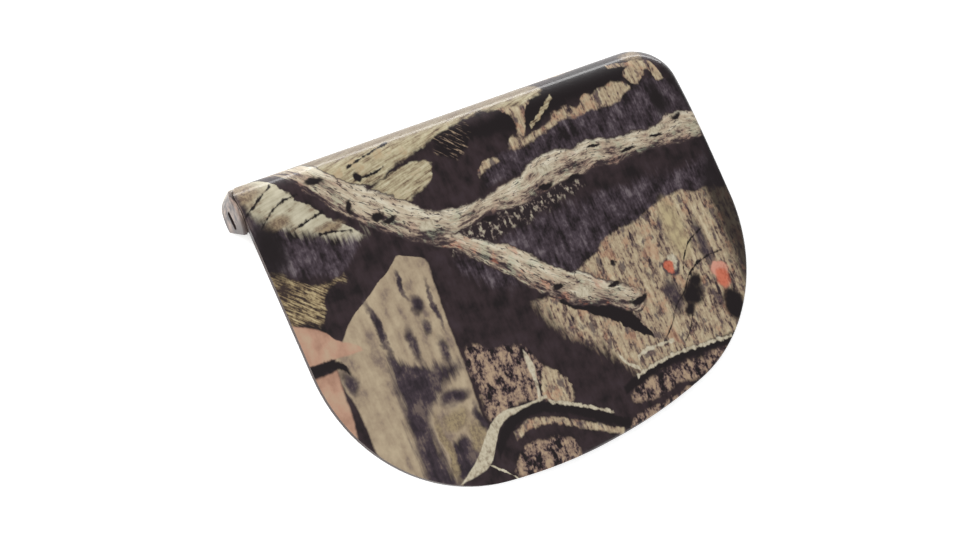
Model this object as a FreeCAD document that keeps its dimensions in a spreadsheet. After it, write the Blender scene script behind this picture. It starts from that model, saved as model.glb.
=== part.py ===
import FreeCAD, Part
import math
import os
import re
from types import SimpleNamespace

import Sketcher
from FreeCAD import Placement, Rotation, Vector

# Shielded grunt tube call.  A short reed barrel lies along the rolled top edge
# of a D-shaped hand shield.  The mouthpiece plugs into its left end, and the
# sound leaves the barrel near its right end, crosses the flat chamber behind
# the shield and comes out through a slot at the chamber's lower edge.
#
# Frame: +X along the barrel away from the mouthpiece, +Y from the round lower
# edge of the shield towards the barrel, +Z out of the front of the shield.
# The call lies on its flat back at Z = 0, with its box centred on X = Y = 0.

DIMENSIONS = {
    # hand shield
    "shell_left": -79.5,
    "shell_right": 80.5,
    "rail_line": 48.1,          # Y of the barrel axis
    "rail_radius": 8.5,         # outside radius of the rolled top edge
    "side_length": 50.0,        # straight sides, below the barrel axis
    "bottom_depth": 54.7,       # round lower part, below the straight sides
    "corner_radius": 51.8,
    "shell_wall": 2.0,
    "front_slope": 5.0,         # degrees
    "roll_fillet": 8.3,
    "side_fillet": 4.5,
    "low_fillet": 2.0,
    "edge_fillet": 0.8,
    "right_corner": 15.0,
    "left_corner": 5.0,
    "wall_start": 0.6,          # rim of the right wall at the barrel
    "wall_run": 75.0,           # length over which the right wall fades out
    # rear cover
    "cover_left": -71.5,
    "cover_right": 78.2,
    "cover_top": 47.85,
    "cover_side": 8.1,
    "cover_bottom": -36.6,
    "cover_corner": 44.0,
    "cover_plate": 1.8,
    "cover_wall": 1.8,
    "gasket_height": 1.0,
    "fit_gap": 0.3,
    "outlet_width": 44.0,
    "outlet_centre": 3.35,
    "bar_pitch": 9.2,
    "bar_width": 1.2,
    "bar_depth": 1.25,
    "bar_top": 6.5,
    "loose_fit": 0.05,          # gap around pieces that lie against each other
    # grip pad in the cover's recess
    "pad_left": -31.5,
    "pad_right": 34.5,
    "pad_half": 12.0,
    "pad_sheet": 0.75,
    "rib_pitch": 6.0,
    "rib_gap": 1.2,
    "rib_depth": 0.3,
    # curved wall between the barrel's sound window and the outlet slot
    "vane_x": -11.5,
    "vane_y": 36.0,
    "vane_radius": 46.0,
    "vane_wall": 1.6,
    "vane_left": -19.5,
    "vane_right": 38.5,
    "vane_low": -20.0,
    "vane_high": 28.0,
    # screws
    "boss_radius": 3.6,
    "insert_radius": 2.1,
    "insert_height": 4.2,
    "screw_radius": 1.25,
    "screw_height": 5.4,
    "head_radius": 2.8,
    "head_height": 1.5,
    "recess_half": 2.2,         # cross recess: half length, half width, depth
    "recess_width": 0.35,
    "recess_depth": 0.7,
    # barrel and its seals
    "barrel_start": -69.5,
    "barrel_end": 58.5,
    "barrel_radius": 6.3,
    "bore_radius": 5.2,
    "window_start": 36.5,
    "window_length": 16.0,
    "seal_wire": 0.43,
    "seal_line": 6.05,
    "saddle_length": 6.0,
    "saddle_reach": 10.5,       # below the barrel's axis
    "saddle_top": 12.0,
    "plug_length": 8.0,
    "plug_cap": 4.0,
    # mouthpiece
    "lip_reach": 1.0,           # beyond the shell's left edge
    "lip_radius": 8.3,
    "lip_round": 1.6,
    "lip_flat": 3.9,            # flat on the lip's lower back side, from the barrel's axis
    "flat_tilt": 22.0,          # degrees
    "slot_half": 2.8,           # narrow slot that the lips cover
    "slot_radius": 1.1,
    "mouth_run": 9.9,           # from the shell's left edge to the barrel
    "mouth_neck": 6.2,
    "mouth_spigot": 5.1,
    "mouth_bore": 3.3,
    "spigot_length": 8.0,
    "ring_line": 4.72,
    "ring_wire": 0.44,
    # reed stack
    "board_start": -60.5,
    "board_end": -11.5,
    "board_radius": 4.4,
    "board_face": 8.3,
    "bushing_end": -48.5,
    "reed_start": -53.5,
    "reed_hinge": -51.5,
    "reed_tip": -13.5,
    "reed_width": 7.6,
    "reed_sheet": 0.35,
    "lay_angle": 2.2,           # degrees between reed and board
    # tone slider
    "knob_start": -42.0,
    "knob_length": 14.0,
    "knob_width": 7.0,
    "knob_base": 0.35,
    "knob_top": 1.85,
    "slide_travel": 12.0,
    "stem_radius": 1.5,
    "stem_top": 6.2,
    "foot_radius": 1.5,         # round rubber foot under the reed
    "foot_axis": 6.35,
    "foot_half": 2.4,
    "rib_half": 0.4,
    "knob_pitch": 1.8,
    # lanyard fitting
    "lug_line": 33.5,
    "lug_eye": -39.1,
    "lug_height": 2.3,
    "lug_half": 1.2,
    "eye_radius": 1.25,
    "loop_radius": 5.0,
    "loop_wire": 0.8,
}

doc = FreeCAD.newDocument("shielded_grunt_call")
sheet = doc.addObject("Spreadsheet::Sheet", "dims")
for row, (alias, number) in enumerate(DIMENSIONS.items(), 1):
    sheet.set(f"A{row}", alias)
    sheet.set(f"B{row}", str(number))
    sheet.setAlias(f"B{row}", alias)
doc.recompute()
d = SimpleNamespace(**{alias: float(sheet.get(alias)) for alias in DIMENSIONS})

ALONG_X = Rotation(Vector(0, 1, 0), 90)
ALONG_Y = Rotation(Vector(1, 0, 0), -90)
UPRIGHT = Rotation()
FAR = 120.0                     # beyond the object in any direction
sub_parts = []


# ---------------------------------------------------------------- helpers

def linked(text):
    """Turn bare dimension names into references to the sheet."""
    return re.sub(r"[a-z]+_[a-z]+", lambda word: f"dims.{word.group(0)}", text)


def bind(item, **links):
    """Bind properties of an object to expressions in the sheet's names."""
    for prop, text in links.items():
        item.setExpression(prop, linked(text))
    return item


def put(item, x="0", y="0", z="0", turn=UPRIGHT):
    """Place an object, with its position bound to the sheet."""
    item.Placement = Placement(Vector(), turn)
    for axis, text in zip("xyz", (x, y, z)):
        item.setExpression(f"Placement.Base.{axis}", linked(text))
    return item


def box(name, x0, x1, y0, y1, z0, z1):
    block = doc.addObject("Part::Box", name)
    bind(block, Length=f"({x1}) - ({x0})", Width=f"({y1}) - ({y0})", Height=f"({z1}) - ({z0})")
    return put(block, x0, y0, z0)


def rod(name, x0, x1, radius, y="rail_line", z="rail_radius"):
    """Cylinder along X, on the barrel axis unless told otherwise."""
    bar = doc.addObject("Part::Cylinder", name)
    bind(bar, Radius=radius, Height=f"({x1}) - ({x0})")
    return put(bar, x0, y, z, ALONG_X)


def post(name, x, y, z0, z1, radius):
    """Cylinder along Z."""
    bar = doc.addObject("Part::Cylinder", name)
    bind(bar, Radius=radius, Height=f"({z1}) - ({z0})")
    return put(bar, x, y, z0)


def hoop(name, x, line, wire):
    """Round ring about the barrel axis."""
    ring = doc.addObject("Part::Torus", name)
    bind(ring, Radius1=line, Radius2=wire)
    return put(ring, x, "rail_line", "rail_radius", ALONG_X)


def fuse(name, *items):
    joined = doc.addObject("Part::MultiFuse", name)
    joined.Shapes = list(items)
    return joined


def group(name, *items):
    """Several equal loose pieces kept as one sub-part."""
    pieces = doc.addObject("Part::Compound", name)
    pieces.Links = list(items)
    return pieces


def cut(name, base, *tools):
    result = doc.addObject("Part::Cut", name)
    result.Base = base
    result.Tool = tools[0] if len(tools) == 1 else fuse(f"{name}_tools", *tools)
    return result


def common(name, *items):
    shared = doc.addObject("Part::MultiCommon", name)
    shared.Shapes = list(items)
    return shared


def scripted(name, shape):
    item = doc.addObject("Part::Feature", name)
    item.Shape = shape
    return item


def keep(item, label):
    """Name a finished sub-part, which is written out under its label."""
    item.Label = label
    sub_parts.append(item)
    return item


def turned_body(name, profile, x_start):
    """PartDesign body turned about the barrel axis from (length, radius) corners."""
    body = doc.addObject("PartDesign::Body", name)
    put(body, x_start, "rail_line", "rail_radius")
    plane = next(f for f in body.Origin.OriginFeatures if f.Role == "XY_Plane")
    sketch = body.newObject("Sketcher::SketchObject", f"{name}_profile")
    sketch.AttachmentSupport = [(plane, "")]
    sketch.MapMode = "FlatFace"
    probe = doc.addObject("Part::Vertex", f"{name}_probe")
    corners = []
    for along, out in profile:
        bind(probe, X=along, Y=out)
        doc.recompute()
        corners.append(Vector(float(probe.X), float(probe.Y), 0))
    doc.removeObject(probe.Name)
    for index, corner in enumerate(corners):
        sketch.addGeometry(Part.LineSegment(corner, corners[(index + 1) % len(corners)]), False)
    for index in range(len(corners)):
        sketch.addConstraint(Sketcher.Constraint("Coincident", index, 2, (index + 1) % len(corners), 1))
    for index, (along, out) in enumerate(profile):
        for text, kind, axis in ((along, "DistanceX", -2), (out, "DistanceY", -1)):
            if text == "0":
                sketch.addConstraint(Sketcher.Constraint("PointOnObject", index, 1, axis))
                continue
            length = corners[index].x if kind == "DistanceX" else corners[index].y
            number = sketch.addConstraint(Sketcher.Constraint(kind, -1, 1, index, 1, length))
            sketch.setExpression(f"Constraints[{number}]", linked(text))
    doc.recompute()
    turning = body.newObject("PartDesign::Revolution", f"{name}_turning")
    turning.Profile = sketch
    turning.ReferenceAxis = (sketch, ["H_Axis"])
    turning.Angle = 360
    doc.recompute()
    return body


# ---------------------------------------------------------------- shield outline

TILT = math.radians(d.front_slope)
SIDE_END = d.rail_line - d.side_length
TIP = SIDE_END - d.bottom_depth
TOP = d.rail_line + d.rail_radius


def front_height(y, depth=0.0):
    """Height of the sloped front, or of a plane that lies depth under it."""
    return (d.rail_radius + (d.rail_radius - depth) / math.cos(TILT)
            + (y - d.rail_line) * math.tan(TILT))


def d_arcs(left, right, side_end, bottom, radius):
    """Tangent points and centres of the three arcs of a round lower edge."""
    half = (right - left) / 2
    middle = (right + left) / 2
    depth = side_end - bottom
    low_radius = ((half - radius) ** 2 + depth ** 2 - radius ** 2) / (2 * (depth - radius))
    low_centre = Vector(middle, bottom + low_radius, 0)
    right_centre = Vector(right - radius, side_end, 0)
    outward = (right_centre - low_centre).normalize()
    join = low_centre + outward * low_radius
    halfway = (Vector(1, 0, 0) + outward).normalize()
    return SimpleNamespace(
        middle=middle, low=Vector(middle, bottom, 0), join=join,
        corner_mid=right_centre + halfway * radius,
        low_mid=low_centre + (outward + Vector(0, -1, 0)).normalize() * low_radius)


def d_face(left, right, top, side_end, bottom, radius):
    """D-shaped face: straight top and sides, three tangent arcs below."""
    arcs = d_arcs(left, right, side_end, bottom, radius)

    def mirrored(point):
        return Vector(2 * arcs.middle - point.x, point.y, 0)

    edges = [
        Part.LineSegment(Vector(left, top, 0), Vector(right, top, 0)),
        Part.LineSegment(Vector(right, top, 0), Vector(right, side_end, 0)),
        Part.Arc(Vector(right, side_end, 0), arcs.corner_mid, arcs.join),
        Part.Arc(arcs.join, arcs.low, mirrored(arcs.join)),
        Part.Arc(mirrored(arcs.join), mirrored(arcs.corner_mid), Vector(left, side_end, 0)),
        Part.LineSegment(Vector(left, side_end, 0), Vector(left, top, 0)),
    ]
    return Part.Face(Part.Wire([edge.toShape() for edge in edges]))


def side_profile_solid(points, x0, x1):
    """Solid swept along X from a closed (y, z) outline."""
    corners = [Vector(x0, y, z) for y, z in points]
    return Part.Face(Part.makePolygon(corners + corners[:1])).extrude(Vector(x1 - x0, 0, 0))


def under_front(depth, floor=-1.0, top=TOP + 1):
    """Everything under the plane that lies depth under the front."""
    low = TIP - 5
    outline = [(top, floor), (top, front_height(top, depth)), (low, front_height(low, depth)), (low, floor)]
    return side_profile_solid(outline, -FAR, FAR)


def is_upright(edge):
    ends = [vertex.Point for vertex in edge.Vertexes]
    return len(ends) == 2 and math.hypot(ends[0].x - ends[1].x, ends[0].y - ends[1].y) < 1e-5


def roll_radius(point, inset, low_side):
    """Edge radius of the shell at a point: large on the rail, small below."""
    if point.y > d.rail_line - d.right_corner + 5:
        size = d.roll_fillet
    elif point.y > SIDE_END - 1:
        size = d.side_fillet
    elif point.x > d.shell_right / 3:
        size = d.low_fillet
    else:
        size = d.edge_fillet
    if low_side and point.y < TOP - inset - 0.01:
        size = d.edge_fillet
    return max(size - inset, 0.3)


def shell_block(inset, floor, rounded_back):
    """Solid of the shell's outside, or of its inside when inset by the wall."""
    right = d.shell_right - inset
    top = TOP - inset
    arcs = d_arcs(d.shell_left + inset, right, SIDE_END, TIP + inset, d.corner_radius - inset)
    far_left = -FAR + 5
    edges = [
        Part.LineSegment(Vector(far_left, top, 0), Vector(right, top, 0)),
        Part.LineSegment(Vector(right, top, 0), Vector(right, SIDE_END, 0)),
        Part.Arc(Vector(right, SIDE_END, 0), arcs.corner_mid, arcs.join),
        Part.Arc(arcs.join, arcs.low_mid, arcs.low),
        Part.LineSegment(arcs.low, Vector(far_left, arcs.low.y, 0)),
        Part.LineSegment(Vector(far_left, arcs.low.y, 0), Vector(far_left, top, 0)),
    ]
    face = Part.Face(Part.Wire([edge.toShape() for edge in edges]))
    face.translate(Vector(0, 0, floor))
    block = face.extrude(Vector(0, 0, 40)).common(under_front(inset))
    corner = [edge for edge in block.Edges if is_upright(edge)
              and edge.Vertexes[0].Y > top - 0.01 and edge.Vertexes[0].X > 0]
    block = block.makeFillet(d.right_corner - inset, corner)

    blank = scripted(f"blank_{inset}_{floor}", block)
    rounding = doc.addObject("Part::Fillet", f"rounding_{inset}_{floor}")
    rounding.Base = blank
    chosen = []
    for number, edge in enumerate(block.Edges, 1):
        ends = [edge.Vertexes[0].Point, edge.Vertexes[-1].Point]
        samples = edge.discretize(5)
        on_front = all(abs(p.z - front_height(p.y, inset)) < 1e-4 for p in samples)
        on_back = all(abs(p.z - floor) < 1e-4 for p in samples)
        at_left = all(p.x < far_left + 0.01 for p in samples)
        if at_left or not (on_front or (on_back and rounded_back)):
            continue
        chosen.append((number, roll_radius(ends[0], inset, on_back), roll_radius(ends[1], inset, on_back)))
    rounding.Edges = chosen
    doc.recompute()
    return rounding.Shape


SCREW_PLACES = (("-59.5", "26"), ("66.5", "26"), ("-43.5", "-18"), ("48.5", "-18"))


def screw_point(place):
    return Vector(float(place[0]), float(place[1]), 0)


def make_shield_shell():
    outside = shell_block(0.0, 0.0, True)
    inside = shell_block(d.shell_wall, d.shell_wall, True)
    wall_x = d.shell_right - d.right_corner
    low = TIP - 5
    under_plate = side_profile_solid(
        [(d.rail_line, -1), (d.rail_line, front_height(d.rail_line, d.shell_wall)),
         (low, front_height(low, d.shell_wall)), (low, -1)], -FAR, wall_x)
    fade = d.rail_line - d.wall_run
    under_wall = side_profile_solid(
        [(d.rail_line, -1), (d.rail_line, d.wall_start), (fade, front_height(fade, d.shell_wall)),
         (low, front_height(low, d.shell_wall)), (low, -1)], wall_x, FAR)
    trim = d_face(d.shell_left, d.shell_right, TOP, SIDE_END, TIP, d.corner_radius)
    trim = trim.extrude(Vector(0, 0, 40))
    left_edge = [edge for edge in trim.Edges if is_upright(edge)
                 and edge.Vertexes[0].Y > TOP - 0.01 and edge.Vertexes[0].X < 0]
    trim = trim.makeFillet(d.left_corner, left_edge)
    cover_seat = cover_outline(d.fit_gap, d.cover_top + d.fit_gap).extrude(Vector(0, 0, d.shell_wall + 1))
    cover_seat = cover_seat.common(shell_block(d.shell_wall + d.fit_gap / 2, 0.0, False))
    shell = outside.cut([inside, under_plate, under_wall, cover_seat]).common(trim)
    for place in SCREW_PLACES:
        foot = screw_point(place) + Vector(0, 0, d.cover_plate + 0.05)
        boss = Part.makeCylinder(d.boss_radius, 20, foot).common(under_front(d.shell_wall / 2))
        shell = shell.fuse(boss)
    for place in SCREW_PLACES:
        foot = screw_point(place)
        shell = shell.cut(Part.makeCylinder(d.insert_radius, d.cover_plate + d.insert_height + 0.1, foot))
    slider_window = Part.makeBox(
        d.knob_length + d.slide_travel + 1, 5, 4,
        Vector(d.knob_start - 0.5, d.rail_line - 1, -1))
    return shell.cut(slider_window).removeSplitter()


def cover_outline(grow, top):
    return d_face(d.cover_left - grow, d.cover_right + grow, top, d.cover_side,
                  d.cover_bottom - grow, d.cover_corner + grow)


def mouthpiece_way():
    """Room in the chamber's left wall for the neck of the mouthpiece."""
    start = Vector(d.cover_left - 1, d.rail_line, d.rail_radius)
    return Part.makeCylinder(d.mouth_neck + 2 * d.loose_fit, d.cover_wall + 2, start, Vector(1, 0, 0))


def make_cover_tray():
    outline = cover_outline(0, d.cover_top)
    tray = outline.extrude(Vector(0, 0, 30))
    tray = tray.common(shell_block(d.shell_wall + d.fit_gap, 0.0, False))
    tray = tray.common(under_front(d.shell_wall + d.gasket_height))
    hollow = cover_outline(-d.cover_wall, TOP)
    hollow.translate(Vector(0, 0, d.cover_plate))
    return tray.cut([hollow.extrude(Vector(0, 0, 30)), mouthpiece_way()])


def make_gasket():
    outer = cover_outline(-0.2, d.cover_top).extrude(Vector(0, 0, 30))
    inner = cover_outline(0.2 - d.cover_wall, TOP).extrude(Vector(0, 0, 30))
    band = outer.cut(inner).common(under_front(d.shell_wall + 0.03))
    band = band.cut(under_front(d.shell_wall + d.gasket_height - 0.03))
    past_fillet = d.shell_right - d.right_corner + 5
    right_end = Part.makeBox(FAR, 2 * FAR, 60, Vector(past_fillet, -FAR, -10))
    return band.cut([right_end, mouthpiece_way()])


# ---------------------------------------------------------------- shield and cover

shell = keep(scripted("shell_moulding", make_shield_shell()), "shield_shell")

tray = scripted("tray", make_cover_tray())
lug_block = box("lug_block", "lug_line - lug_half", "lug_line + lug_half",
                "lug_eye - 2", "cover_bottom + 0.6", "fit_gap", "lug_height + 2")
tray_with_lug = fuse("tray_with_lug", tray, lug_block)
knob_window = box("knob_window", "knob_start - 0.5", "knob_start + knob_length + slide_travel + 0.5",
                  "rail_line - 4", "rail_line + 1", "-1", "cover_plate + 1")
outlet_notch = box("outlet_notch", "outlet_centre - outlet_width / 2", "outlet_centre + outlet_width / 2",
                   "cover_bottom - 2", "cover_bottom + 3", "cover_plate", "20")
pad_recess = box("pad_recess", "pad_left", "pad_right", "-pad_half", "pad_half",
                 "-1", "pad_sheet + loose_fit")
eye_hole = rod("eye_hole", "lug_line - 3", "lug_line + 3", "eye_radius", "lug_eye", "lug_height")
cover_cuts = [knob_window, outlet_notch, pad_recess, eye_hole]
for index, (px, py) in enumerate(SCREW_PLACES):
    cover_cuts.append(post(f"cover_hole_{index}", px, py, "-1", "cover_plate + 1", "screw_radius + 0.4"))
    cover_cuts.append(post(f"cover_sink_{index}", px, py, "-1", "head_height + loose_fit",
                           "head_radius + 0.1"))
rear_cover = keep(cut("cover_body", tray_with_lug, *cover_cuts), "rear_cover")

keep(scripted("gasket_strip", make_gasket()), "chamber_gasket")

pad = box("pad_blank", "pad_left + 0.2", "pad_right - 0.2", "0.2 - pad_half", "pad_half - 0.2",
          "0", "pad_sheet")
pad_grooves = []
for index in range(10):
    groove_start = f"pad_left + {index + 0.9} * rib_pitch"
    pad_grooves.append(box(f"pad_groove_{index}", groove_start, f"{groove_start} + rib_gap",
                           "-pad_half", "pad_half", "-1", "rib_depth"))
keep(cut("pad_body", pad, *pad_grooves), "rear_grip_pad")

COMB_FRONT = "cover_bottom + 0.45"
COMB_FLOOR = "cover_plate + loose_fit"
comb_base = box("comb_base",
                "outlet_centre - outlet_width / 2 + 0.1", "outlet_centre + outlet_width / 2 - 0.1",
                COMB_FRONT, f"{COMB_FRONT} + bar_depth", COMB_FLOOR, "cover_plate + 0.4")
comb_bars = []
for index in range(-2, 3):
    bar_middle = f"outlet_centre + {index} * bar_pitch"
    comb_bars.append(box(f"comb_bar_{index + 2}",
                         f"{bar_middle} - bar_width / 2", f"{bar_middle} + bar_width / 2",
                         COMB_FRONT, f"{COMB_FRONT} + bar_depth", COMB_FLOOR, "bar_top"))
keep(fuse("comb", comb_base, *comb_bars), "outlet_grille")

# curved wall that steers the sound from the barrel window to the outlet slot
vane_outer = post("vane_outer", "vane_x", "vane_y", "cover_plate + loose_fit", "20", "vane_radius")
vane_inner = post("vane_inner", "vane_x", "vane_y", "0", "21", "vane_radius - vane_wall")
vane_sector = box("vane_sector", "vane_left", "vane_right", "vane_low", "vane_high",
                  "cover_plate + loose_fit", "20")
vane_roof = scripted("vane_roof", under_front(d.shell_wall + 0.4))
keep(common("vane", cut("vane_ring", vane_outer, vane_inner), vane_sector, vane_roof), "horn_baffle")

inserts = []
screws = []
for index, (px, py) in enumerate(SCREW_PLACES):
    sleeve = post(f"sleeve_{index}", px, py, "cover_plate + loose_fit", "cover_plate + insert_height",
                  "insert_radius - 0.02")
    thread = post(f"thread_{index}", px, py, "0", "10", "screw_radius + loose_fit")
    inserts.append(cut(f"insert_{index}", sleeve, thread))
    shank = post(f"shank_{index}", px, py, "0.4", "screw_height", "screw_radius")
    head = post(f"head_{index}", px, py, "loose_fit", "head_height", "head_radius")
    slot = box(f"slot_{index}", f"{px} - recess_half", f"{px} + recess_half",
               f"{py} - recess_width", f"{py} + recess_width", "-1", "recess_depth")
    cross = box(f"cross_{index}", f"{px} - recess_width", f"{px} + recess_width",
                f"{py} - recess_half", f"{py} + recess_half", "-1", "recess_depth")
    screws.append(cut(f"screw_{index}", fuse(f"screw_blank_{index}", shank, head), slot, cross))
keep(group("insert_set", *inserts), "screw_inserts")
keep(group("screw_set", *screws), "cover_screws")

# ---------------------------------------------------------------- barrel

tube = rod("tube", "barrel_start", "barrel_end", "barrel_radius")
bore = rod("bore", "barrel_start - 1", "barrel_end + 1", "bore_radius")
sound_window = box("sound_window", "window_start", "window_start + window_length",
                   "rail_line - 9", "rail_line - 2", "rail_radius - 3.6", "rail_radius + 3.6")
stem_slot = box("stem_slot", "knob_start + knob_length / 2 - 2.2",
                "knob_start + knob_length / 2 + slide_travel + 2.2",
                "rail_line - stem_radius - 0.2", "rail_line + stem_radius + 0.2", "0", "6")
SEAL_PLACES = ("-63.5", "30.5", "55")
seal_grooves = []
seals = []
for index, place in enumerate(SEAL_PLACES):
    sleeve = rod(f"groove_outer_{index}", f"{place} - 0.5", f"{place} + 0.5", "barrel_radius + 1")
    floor = rod(f"groove_floor_{index}", f"{place} - 2", f"{place} + 2", "seal_line - seal_wire - 0.02")
    seal_grooves.append(cut(f"seal_groove_{index}", sleeve, floor))
    seals.append(hoop(f"seal_{index}", place, "seal_line", "seal_wire"))
keep(cut("barrel_body", tube, bore, sound_window, stem_slot, *seal_grooves), "barrel")
keep(group("seal_set", *seals), "barrel_seal_rings")

saddles = []
for index, place in enumerate(("-51.5", "18.5")):
    block = box(f"saddle_block_{index}", place, f"{place} + saddle_length",
                "rail_line - saddle_reach", "rail_line - saddle_reach + 8",
                "cover_plate + loose_fit", "saddle_top")
    seat = rod(f"saddle_seat_{index}", f"{place} - 1", f"{place} + saddle_length + 1",
               "barrel_radius + 0.08")
    saddles.append(cut(f"saddle_{index}", block, seat))
keep(group("saddle_set", *saddles), "barrel_saddles")

plug_profile = (
    ("0", "0"), ("plug_length + plug_cap", "0"), ("plug_length + plug_cap", "barrel_radius - 0.8"),
    ("plug_length + plug_cap - 0.8", "barrel_radius"), ("plug_length", "barrel_radius"),
    ("plug_length", "bore_radius - 0.1"), ("4.6", "bore_radius - 0.1"),
    ("4.6", "ring_line - ring_wire - 0.02"), ("3.4", "ring_line - ring_wire - 0.02"),
    ("3.4", "bore_radius - 0.1"), ("0", "bore_radius - 0.1"),
)
keep(turned_body("plug_body", plug_profile, "barrel_end - plug_length + 0.05"), "barrel_end_plug")
keep(hoop("plug_ring", "barrel_end - plug_length + 4.05", "ring_line", "ring_wire"), "end_plug_ring")

# ---------------------------------------------------------------- mouthpiece

mouth_profile = (
    ("0", "0"), ("0", "mouth_neck"), ("mouth_run", "mouth_neck"), ("mouth_run", "mouth_spigot"),
    ("mouth_run + 3.5", "mouth_spigot"), ("mouth_run + 3.5", "ring_line - ring_wire - 0.02"),
    ("mouth_run + 4.7", "ring_line - ring_wire - 0.02"), ("mouth_run + 4.7", "mouth_spigot"),
    ("mouth_run + spigot_length", "mouth_spigot"), ("mouth_run + spigot_length", "0"),
)
LIP_START = "shell_left - lip_reach"
neck = turned_body("neck_turning", mouth_profile, "shell_left")
lip_side = rod("lip_side", f"{LIP_START} + lip_round", "shell_left + mouth_run - 0.5", "lip_radius")
lip_edge = hoop("lip_edge", f"{LIP_START} + lip_round", "lip_radius - lip_round", "lip_round")
lip_face = rod("lip_face", LIP_START, f"{LIP_START} + 2 * lip_round", "lip_radius - lip_round")


def grown_plan(name, grow):
    """Upright block over the shell's plan outline, grown all round."""
    plan = d_face(d.shell_left - grow, d.shell_right + grow, TOP + grow, SIDE_END, TIP - grow,
                  d.corner_radius + grow).extrude(Vector(0, 0, 40))
    corner = [edge for edge in plan.Edges if is_upright(edge)
              and edge.Vertexes[0].Y > TOP and edge.Vertexes[0].X < 0]
    return scripted(name, plan.makeFillet(d.left_corner + grow, corner))


neck_space = rod("neck_space", "shell_left - 1", "0", "mouth_neck")
relief = cut("relief_ring", grown_plan("relief", 4 * d.loose_fit), neck_space)
flat_block = doc.addObject("Part::Box", "flat_block")
bind(flat_block, Length="mouth_run - 1", Width="10", Height="30")
flat_block.Placement = Placement(Vector(d.shell_left - d.lip_reach - 1, d.rail_line, d.rail_radius),
                                 Rotation(Vector(1, 0, 0), d.flat_tilt))
flat_block.Placement = flat_block.Placement.multiply(Placement(Vector(0, -d.lip_flat - 10, -15), UPRIGHT))
breath_way = rod("breath_way", f"{LIP_START} + lip_round", "shell_left + mouth_run + spigot_length + 1",
                 "mouth_bore")
slot_middle = box("slot_middle", f"{LIP_START} - 1", f"{LIP_START} + 2 * lip_round",
                  "rail_line - slot_half + slot_radius", "rail_line + slot_half - slot_radius",
                  "rail_radius - slot_radius", "rail_radius + slot_radius")
slot_ends = [rod(f"slot_end_{sign}", f"{LIP_START} - 1", f"{LIP_START} + 2 * lip_round", "slot_radius",
                 f"rail_line {sign} (slot_half - slot_radius)") for sign in "+-"]
lip_blank = fuse("lip_blank", lip_side, lip_edge, lip_face)
lip_limit = common("lip_limit", lip_blank, grown_plan("lip_plan", d.lip_reach))
mouthpiece = keep(cut("mouth_body", fuse("mouth_blank", lip_limit, neck), relief, flat_block, breath_way,
                      slot_middle, *slot_ends), "mouthpiece")
keep(hoop("mouth_ring", "shell_left + mouth_run + 4.1", "ring_line", "ring_wire"), "mouthpiece_ring")

# ---------------------------------------------------------------- reed stack

bushing_tube = rod("bushing_tube", "board_start", "bushing_end", "bore_radius - 0.03")
bushing_bore = rod("bushing_bore", "board_start - 1", "bushing_end + 1", "board_radius + 0.05")
keep(cut("bushing_body", bushing_tube, bushing_bore), "reed_bushing")

board_round = rod("board_round", "board_start", "board_end", "board_radius")
board_under = box("board_under", "board_start - 1", "board_end + 1", "rail_line - 8", "rail_line + 8",
                  "0", "board_face")
trough = box("trough", "board_start - 1", "board_end - 4", "rail_line - 1.6", "rail_line + 1.6",
             "board_face - 1", "board_face + 2.7")
# the board's face leaves the reed at a small angle, ahead of the reed's clamp
LAY_TURN = Rotation(Vector(0, 1, 0), -d.lay_angle)
lay = doc.addObject("Part::Box", "lay")
bind(lay, Length="board_end - reed_hinge + 5", Width="16", Height="6")
lay_corner = Vector(d.reed_hinge, d.rail_line - 8, d.board_face)
lay.Placement = Placement(lay_corner + LAY_TURN.multVec(Vector(0, 0, -6)), LAY_TURN)
keep(cut("board_body", board_round, board_under, trough, lay), "tone_board")

wedge_round = rod("wedge_round", "board_start + 0.2", "reed_hinge + 1.5", "board_radius")
wedge_over = box("wedge_over", "board_start - 1", "reed_hinge + 3", "rail_line - 8", "rail_line + 8",
                 "board_face - reed_sheet - 0.1", "20")
keep(cut("wedge_body", wedge_round, wedge_over), "reed_wedge")

keep(box("reed_strip", "reed_start", "reed_tip", "rail_line - reed_width / 2", "rail_line + reed_width / 2",
         "board_face - 0.02 - reed_sheet", "board_face - 0.02"), "reed")

# ---------------------------------------------------------------- tone slider

KNOB_MIDDLE = "knob_start + knob_length / 2"
knob_block = box("knob_block", "knob_start", "knob_start + knob_length", "rail_line - knob_width / 2",
                 "rail_line + knob_width / 2", "knob_base", "knob_top")
knob_ribs = []
for index in range(-3, 4):
    rib_middle = f"{KNOB_MIDDLE} + {index} * knob_pitch"
    knob_ribs.append(box(f"knob_rib_{index + 3}", f"{rib_middle} - rib_half", f"{rib_middle} + rib_half",
                         "rail_line - 5", "rail_line + 5", "knob_base - 1", "knob_base + rib_half"))
keep(cut("knob_body", knob_block, *knob_ribs), "slider_knob")

stem_post = post("stem_post", KNOB_MIDDLE, "rail_line", "knob_top + 0.02", "stem_top - 0.5", "stem_radius")
stem_head = box("stem_head", f"{KNOB_MIDDLE} - stem_radius", f"{KNOB_MIDDLE} + stem_radius",
                "rail_line - foot_half", "rail_line + foot_half", "stem_top - 1.6", "stem_top")
keep(fuse("stem_body", stem_post, stem_head), "slider_stem")

foot_round = doc.addObject("Part::Cylinder", "foot_round")
bind(foot_round, Radius="foot_radius", Height="2 * foot_half")
put(foot_round, KNOB_MIDDLE, "rail_line - foot_half", "foot_axis", ALONG_Y)
under_foot = box("under_foot", f"{KNOB_MIDDLE} - 3", f"{KNOB_MIDDLE} + 3", "rail_line - 5", "rail_line + 5",
                 "0", "stem_top + 0.02")
keep(cut("foot_body", foot_round, under_foot), "slider_foot")

# ---------------------------------------------------------------- lanyard loop

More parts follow.
